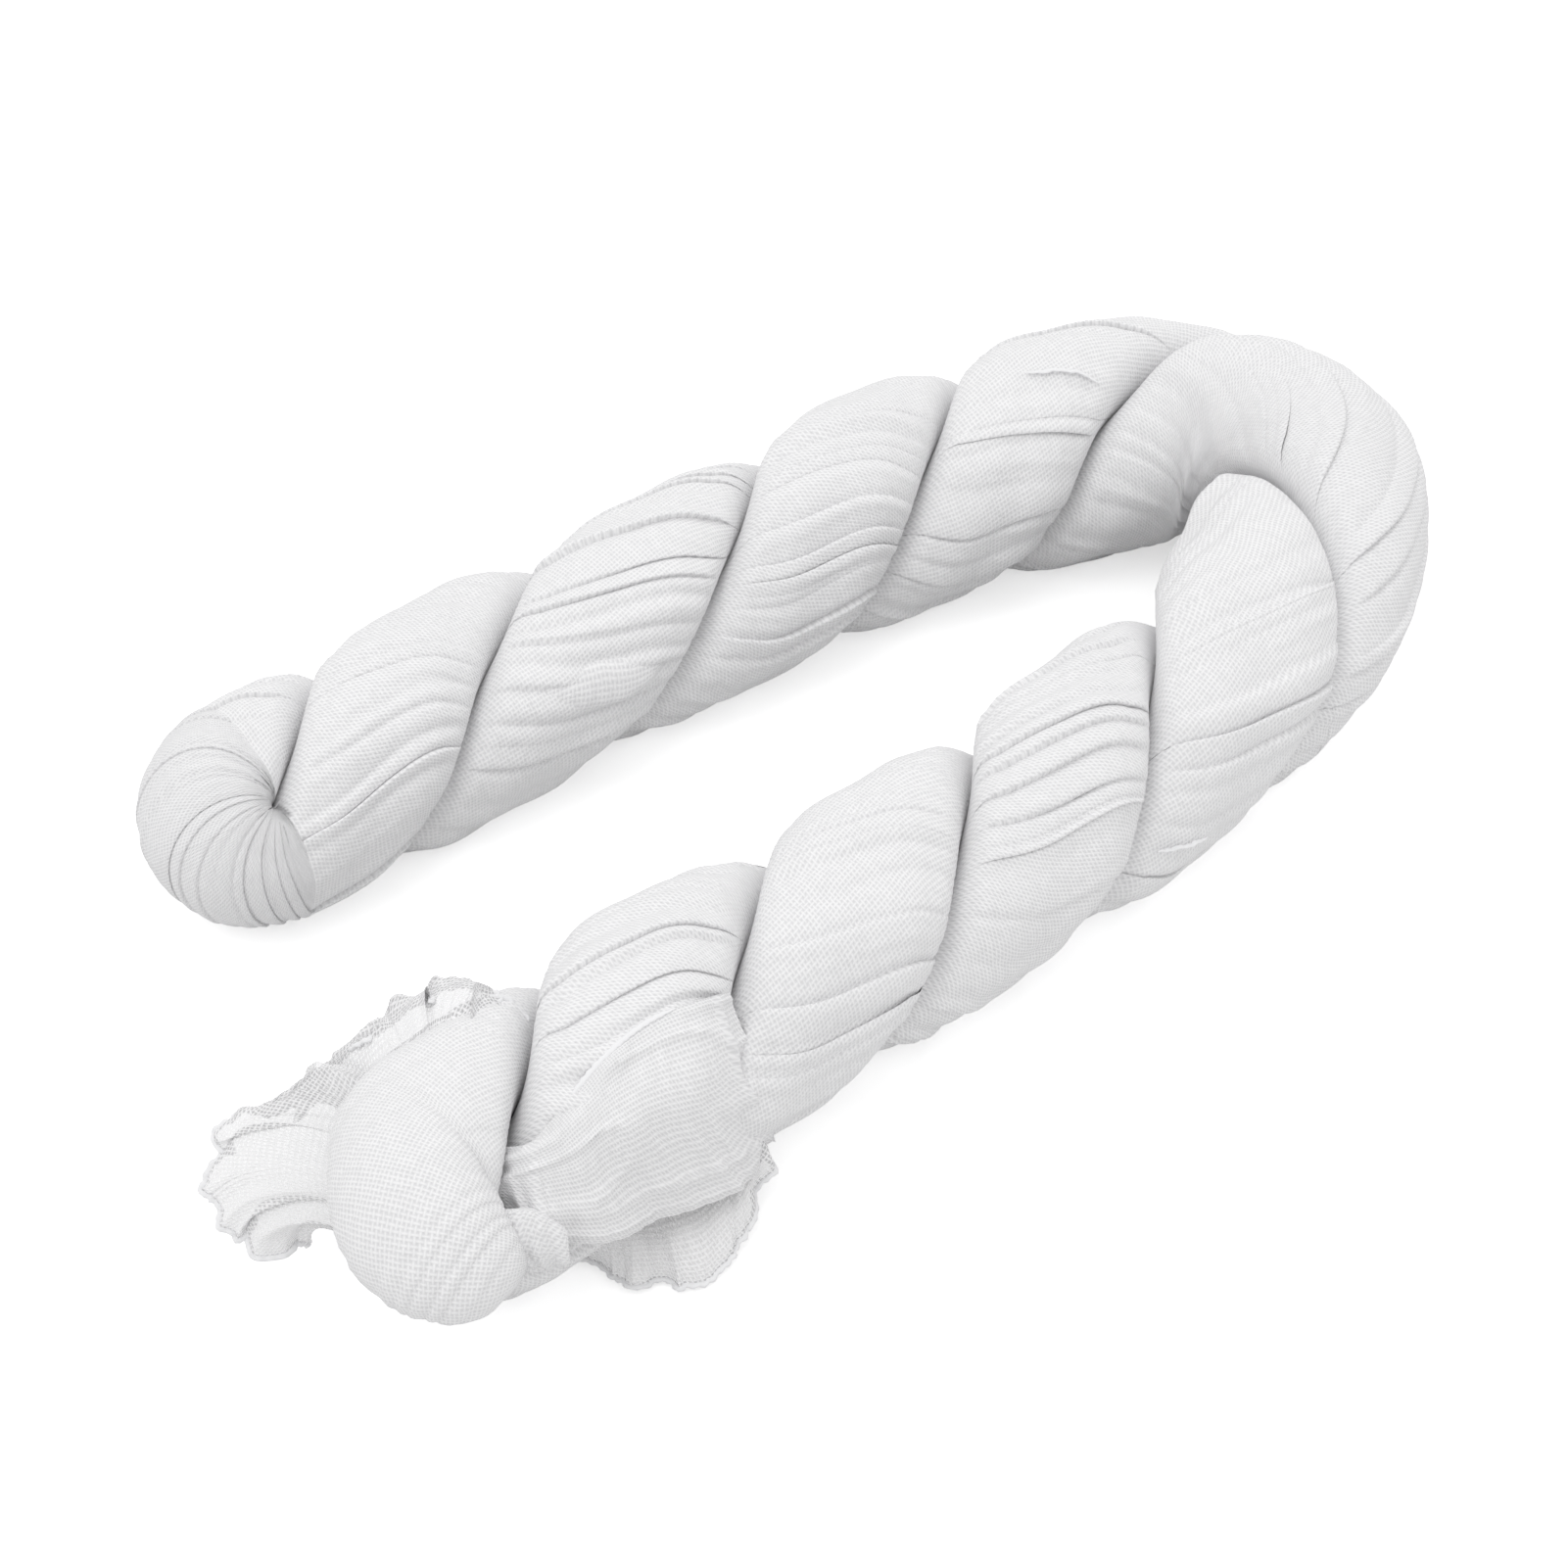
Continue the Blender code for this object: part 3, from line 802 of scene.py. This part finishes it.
# Loose layers: the lines each runs through down to its rim, bulge, ruffles, their depth and seed
LOOSE_LAYERS = {
    "first_end_frill": (
        (
            (
                (-0.0906, -0.1070, 0.040),
                (-0.0926, -0.1150, 0.030),
                (-0.0946, -0.1250, 0.020),
                (-0.0920, -0.1300, 0.010),
            ),
            (
                (-0.1056, -0.1020, 0.036),
                (-0.1138, -0.1059, 0.033),
                (-0.1258, -0.1083, 0.026),
                (-0.1282, -0.1140, 0.018),
                (-0.1252, -0.1208, 0.012),
                (-0.1196, -0.1246, 0.007),
                (-0.1070, -0.1262, 0.006),
            ),
        ),
        (-0.004, 0.002, 0.006), 3.3, 0.0032, 21,
    ),
    "second_end_frill": (
        (
            (
                (-0.0690, -0.1130, 0.046),
                (-0.0766, -0.1100, 0.044),
                (-0.0847, -0.1120, 0.038),
                (-0.0926, -0.1160, 0.028),
            ),
            (
                (-0.0640, -0.0930, 0.047),
                (-0.0690, -0.0880, 0.050),
                (-0.0790, -0.0885, 0.050),
                (-0.0890, -0.0930, 0.046),
                (-0.1005, -0.0990, 0.041),
                (-0.1110, -0.1070, 0.030),
            ),
        ),
        (-0.003, 0.006, 0.005), 3.1, 0.0034, 22,
    ),
    "loose_side_flap": (
        (
            (
                (-0.0186, -0.0850, 0.016),
                (-0.0307, -0.0980, 0.014),
                (-0.0446, -0.1090, 0.012),
                (-0.0566, -0.1150, 0.010),
            ),
            (
                (-0.0077, -0.0990, 0.010),
                (-0.0130, -0.1177, 0.004),
                (-0.0207, -0.1305, 0.002),
                (-0.0335, -0.1308, 0.002),
                (-0.0452, -0.1276, 0.002),
                (-0.0546, -0.1230, 0.003),
            ),
        ),
        (0.002, -0.003, 0.004), 2.6, 0.0016, 23,
    ),
    "loose_outer_layer": (
        (
            (
                (-0.0170, -0.0902, 0.0519),
                (-0.0246, -0.0958, 0.0549),
                (-0.0343, -0.1021, 0.0556),
                (-0.0437, -0.1120, 0.0550),
                (-0.0530, -0.1225, 0.0498),
                (-0.0592, -0.1280, 0.0464),
                (-0.0680, -0.1235, 0.0400),
            ),
            (
                (-0.0122, -0.0955, 0.0330),
                (-0.0192, -0.1084, 0.0397),
                (-0.0299, -0.1170, 0.0447),
                (-0.0409, -0.1254, 0.0464),
                (-0.0510, -0.1325, 0.0438),
                (-0.0612, -0.1342, 0.0424),
                (-0.0690, -0.1300, 0.0385),
            ),
            (
                (-0.0084, -0.0973, 0.0150),
                (-0.0090, -0.1038, 0.0110),
                (-0.0178, -0.1150, 0.0140),
                (-0.0323, -0.1279, 0.0190),
                (-0.0478, -0.1395, 0.0265),
                (-0.0570, -0.1412, 0.0320),
                (-0.0650, -0.1385, 0.0310),
            ),
        ),
        (0.0, 0.0, 0.0), 2.8, 0.0020, 24,
    ),
    "tucked_tab": (
        (
            ((-0.0610, -0.1360, 0.034), (-0.0575, -0.1355, 0.034), (-0.0545, -0.1360, 0.030)),
            ((-0.0640, -0.1420, 0.041), (-0.0575, -0.1425, 0.041), (-0.0515, -0.1410, 0.034)),
            ((-0.0640, -0.1462, 0.033), (-0.0572, -0.1468, 0.032), (-0.0505, -0.1432, 0.027)),
            ((-0.0608, -0.1420, 0.021), (-0.0562, -0.1410, 0.020), (-0.0517, -0.1385, 0.019)),
        ),
        (0.0, 0.0, 0.0), 1.1, 0.0005, 25,
    ),
}
HEMMED = ("first_end_frill", "second_end_frill", "loose_side_flap")


def make_loose_layers(gauze, open_gauze, hem_material):
    """Makes the loose layers and their hems, and gives the upper edge of the outer layer."""
    upper_edge = None
    for name, (lines, bulge, ruffles, depth, seed) in LOOSE_LAYERS.items():
        creasing = OUTER_CREASING if name == "loose_outer_layer" else 0.0
        piece, points, flat = loose_sheet(
            name + "_cloth", lines, bulge, ruffles, depth, seed, creasing=creasing
        )
        piece.data.materials.append(open_gauze if name in HEMMED else gauze)
        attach(piece, "root")
        if name in HEMMED:
            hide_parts(name)
            edge = overlock(name + "_overlock", points[-1], *FRILL_HEM)
            edge.data.materials.append(hem_material)
            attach(edge, "root")
            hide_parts(name + "_hem")
        if name == "loose_outer_layer":
            upper_edge = points[0]
    return upper_edge


# Folds tucked up out of a strand: strand, places, turns in degrees along the ridge, half width, lift
TUCKS = {
    "far_leg_tuck": (1, (0.0640, 0.1030), (75.0, -75.0), 26.0, 0.0034),
}
# Each line of a tuck, from one foot over the ridge to the other: share of the half width and of the lift
TUCK_PROFILE = ((1.0, -0.3), (0.55, 0.7), (0.0, 1.0), (-0.45, 0.8), (-0.75, -0.3))
TUCK_SINK = 0.0006
TUCK_POINTS = 7
TUCK_SPAN = (0.04, 0.92)
TUCK_SWELL = 0.8
TUCK_SEED = 40


def make_tucks(rope, gauze):
    """Makes the folds that stand up out of a strand."""
    for seed, (name, values) in enumerate(TUCKS.items(), start=TUCK_SEED):
        strand, places, turns, half_width, lift = values
        along = np.linspace(0.0, 1.0, TUCK_POINTS)
        place = places[0] + (places[1] - places[0]) * along
        axis, _, outward, across, radius, _ = rope.frames(place, strand)
        core = axis + 0.5 * radius[:, None] * outward
        lines = []
        ridge = turns[0] + (turns[1] - turns[0]) * along
        swell = np.sin(math.pi * (TUCK_SPAN[0] + TUCK_SPAN[1] * along)) ** TUCK_SWELL
        for offset, raised in TUCK_PROFILE:
            turn = np.radians(ridge + offset * half_width * swell)
            out, side = section(turn)
            skin = axis + radius[:, None] * (out[:, None] * outward + side[:, None] * across)
            away = skin - core
            away /= np.linalg.norm(away, axis=1, keepdims=True)
            lines.append(skin + (lift * raised * swell - TUCK_SINK)[:, None] * away)
        piece, points, flat = loose_sheet(
            name + "_cloth",
            lines,
            bulge=(0.0, 0.0, 0.0),
            ruffles=1.0,
            depth=0.0001,
            seed=seed,
            crumpling=0.0002,
            rows=40,
            columns=90,
        )
        piece.data.materials.append(gauze)
        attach(piece, "root")


# The share of the outer layer's upper edge that is hemmed
FIRST_SIDE_HEM = (0.24, 0.62)
# Hems that lie on a strand: strand, places, turns in degrees
STRAND_HEMS = {
    "second_side_hem": (1, (0.2260, 0.2450), (12.0, -95.0)),
    "near_leg_side_hem": (1, (0.4300, 0.4440), (322.0, 258.0)),
}
STRAND_HEM_POINTS = 90
# Small wanderings of those hems: reach, rate and start
HEM_CRINKLES = ((0.008, 19.0, 0.0), (0.006, 37.0, 1.0))


def make_side_hems(rope, outer_edge, hem_material):
    """The stretches of the cloth's long edges that show on the strands."""
    first, last = (int(share * len(outer_edge)) for share in FIRST_SIDE_HEM)
    paths = {"first_side_hem": outer_edge[first:last]}
    for name, (strand, ends, turns) in STRAND_HEMS.items():
        places = np.linspace(*ends, STRAND_HEM_POINTS)
        axis, _, outward, across, radius, _ = rope.frames(places, strand)
        shares = np.linspace(0.0, 1.0, STRAND_HEM_POINTS)
        crinkle = sum(reach * np.sin(rate * shares + start) for reach, rate, start in HEM_CRINKLES)
        out, side = section(np.radians(turns[0] + (turns[1] - turns[0]) * shares) + crinkle)
        radius = radius + HEM_LIFT
        paths[name] = axis + radius[:, None] * (out[:, None] * outward + side[:, None] * across)
    for name, path in paths.items():
        piece = overlock(name + "_overlock", path, *SIDE_HEM)
        piece.data.materials.append(hem_material)
        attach(piece, "root")
        if name != "near_leg_side_hem":
            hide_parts(name)


def thread_material():
    material = bpy.data.materials.new("overlock_thread")
    material.use_nodes = True
    shader = material.node_tree.nodes["Principled BSDF"]
    shader.inputs["Base Color"].default_value = HEM_COLOUR
    shader.inputs["Roughness"].default_value = 0.8
    shader.inputs["Specular IOR Level"].default_value = 0.2
    return material


def make_stage():
    """A pale floor that looks brighter to the camera, so that it meets the white surround."""
    bpy.ops.mesh.primitive_plane_add(size=FLOOR_SIZE, location=(0.0, 0.0, 0.0))
    floor = bpy.context.object
    floor.name = "floor"
    material = bpy.data.materials.new("pale_floor")
    material.use_nodes = True
    nodes, links = material.node_tree.nodes, material.node_tree.links
    nodes.clear()
    output = nodes.new("ShaderNodeOutputMaterial")
    diffuse = nodes.new("ShaderNodeBsdfDiffuse")
    diffuse.inputs["Color"].default_value = FLOOR_COLOUR
    glow = nodes.new("ShaderNodeEmission")
    seen = nodes.new("ShaderNodeLightPath")
    strength = nodes.new("ShaderNodeMath")
    strength.operation = "MULTIPLY"
    strength.inputs[1].default_value = FLOOR_GLOW
    links.new(seen.outputs["Is Camera Ray"], strength.inputs[0])
    links.new(strength.outputs["Value"], glow.inputs["Strength"])
    both = nodes.new("ShaderNodeAddShader")
    links.new(diffuse.outputs["BSDF"], both.inputs[0])
    links.new(glow.outputs["Emission"], both.inputs[1])
    links.new(both.outputs["Shader"], output.inputs["Surface"])
    floor.data.materials.append(material)


def add_area_light(name, place, size, power):
    lamp = bpy.data.lights.new(name, "AREA")
    lamp.shape = "DISK"
    lamp.size = size
    lamp.energy = power
    thing = bpy.data.objects.new(name, lamp)
    thing.location = place
    direction = Vector(LIGHT_AIM) - Vector(place)
    thing.rotation_euler = direction.to_track_quat("-Z", "Y").to_euler()
    bpy.context.scene.collection.objects.link(thing)


def make_light():
    world = bpy.data.worlds.new("studio")
    world.use_nodes = True
    sky = world.node_tree.nodes["Background"]
    sky.inputs["Color"].default_value = (1.0, 1.0, 1.0, 1.0)
    sky.inputs["Strength"].default_value = SKY_STRENGTH
    bpy.context.scene.world = world
    add_area_light("key_light", *KEY_LIGHT)
    add_area_light("back_light", *BACK_LIGHT)


def make_camera():
    camera = bpy.data.cameras.new("camera")
    camera.lens = CAMERA_LENS
    camera.sensor_width = CAMERA_SENSOR
    thing = bpy.data.objects.new("camera", camera)
    elevation = math.radians(CAMERA_ELEVATION)
    away = Vector((0.0, -math.cos(elevation), math.sin(elevation)))
    thing.location = Vector(CAMERA_AIM) + CAMERA_DISTANCE * away
    thing.rotation_euler = (math.radians(90.0) - elevation, 0.0, 0.0)
    bpy.context.scene.collection.objects.link(thing)
    bpy.context.scene.camera = thing


rope = Rope()
gauze, open_gauze = make_cloth(rope)
hem_material = thread_material()
outer_edge = make_loose_layers(gauze, open_gauze, hem_material)
make_tucks(rope, gauze)
make_side_hems(rope, outer_edge, hem_material)
make_stage()
make_light()
make_camera()
bpy.context.scene.view_settings.view_transform = "Standard"
